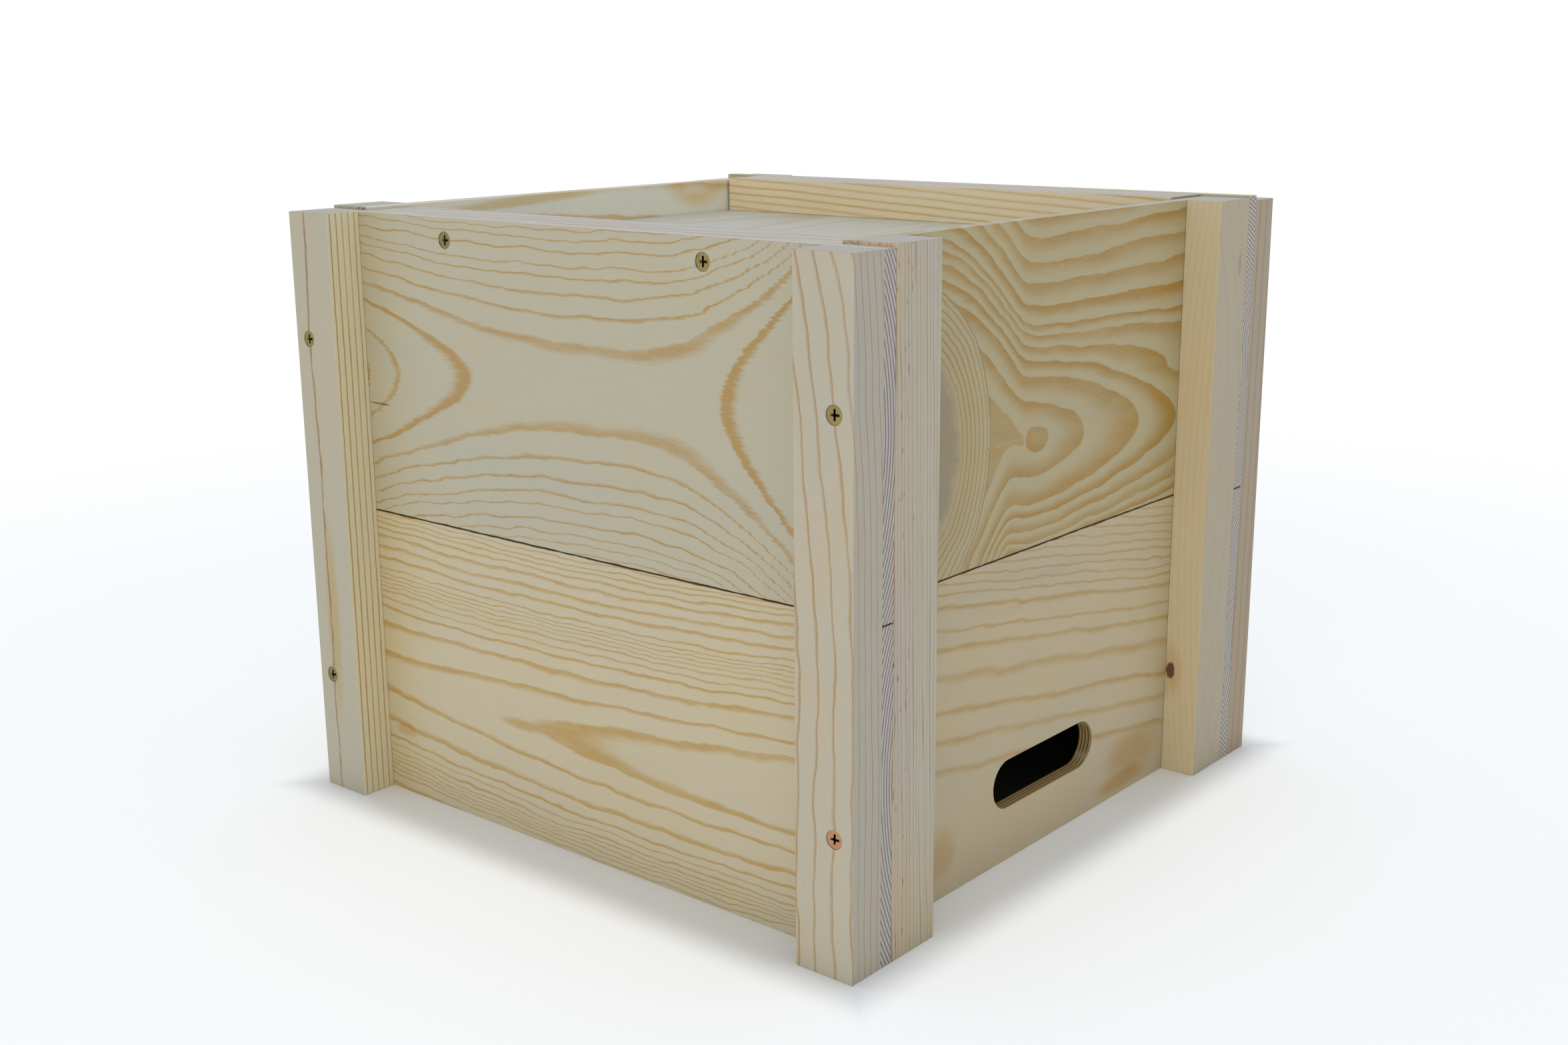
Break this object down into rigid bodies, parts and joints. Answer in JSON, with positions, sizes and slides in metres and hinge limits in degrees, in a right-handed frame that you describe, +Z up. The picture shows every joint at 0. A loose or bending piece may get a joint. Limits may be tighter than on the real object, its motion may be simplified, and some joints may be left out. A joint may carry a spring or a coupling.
{
  "type": "beehive",
  "caption": "Square pine hive box with an open base, thin board walls held between corner battens, a recessed deck below screwed rails and a rounded entrance slot.",
  "frame": {"origin": "centre of the footprint, on the ground", "axes": "+Z up, front wall with the rail screws at -Y, wall with the entrance slot at +X"},
  "size_m": [0.35, 0.35, 0.301],
  "materials": {
    "wall_pine": "planed pale pine with tan growth-ring figure, satin, unvarnished",
    "batten_pine": "planed pale pine with straight grain, satin, unvarnished",
    "rail_pine": "planed pale pine with bold straight grain, satin, unvarnished",
    "deck_pine": "planed pale pine, satin, unvarnished",
    "yellow_zinc": "yellow zinc plating, semi-gloss"
  },
  "bodies": {
    "root": {"front_lower_board": "wall_pine", "front_upper_board": "wall_pine", "back_lower_board": "wall_pine", "back_upper_board": "wall_pine", "left_lower_board": "wall_pine", "left_upper_board": "wall_pine", "right_lower_board": "wall_pine", "right_upper_board": "wall_pine", "front_left_batten": "batten_pine", "front_right_batten": "batten_pine", "back_left_batten": "batten_pine", "back_right_batten": "batten_pine", "left_front_batten": "batten_pine", "left_back_batten": "batten_pine", "right_front_batten": "batten_pine", "right_back_batten": "batten_pine", "front_rail": "rail_pine", "back_rail": "rail_pine", "left_deck_board": "deck_pine", "right_deck_board": "deck_pine", "front_corner_screws": "yellow_zinc", "back_corner_screws": "yellow_zinc", "front_rail_screws": "yellow_zinc", "back_rail_screws": "yellow_zinc", "left_wall_screws": "yellow_zinc", "right_wall_screws": "yellow_zinc", "deck_screws": "yellow_zinc"}
  },
  "joints": []
}
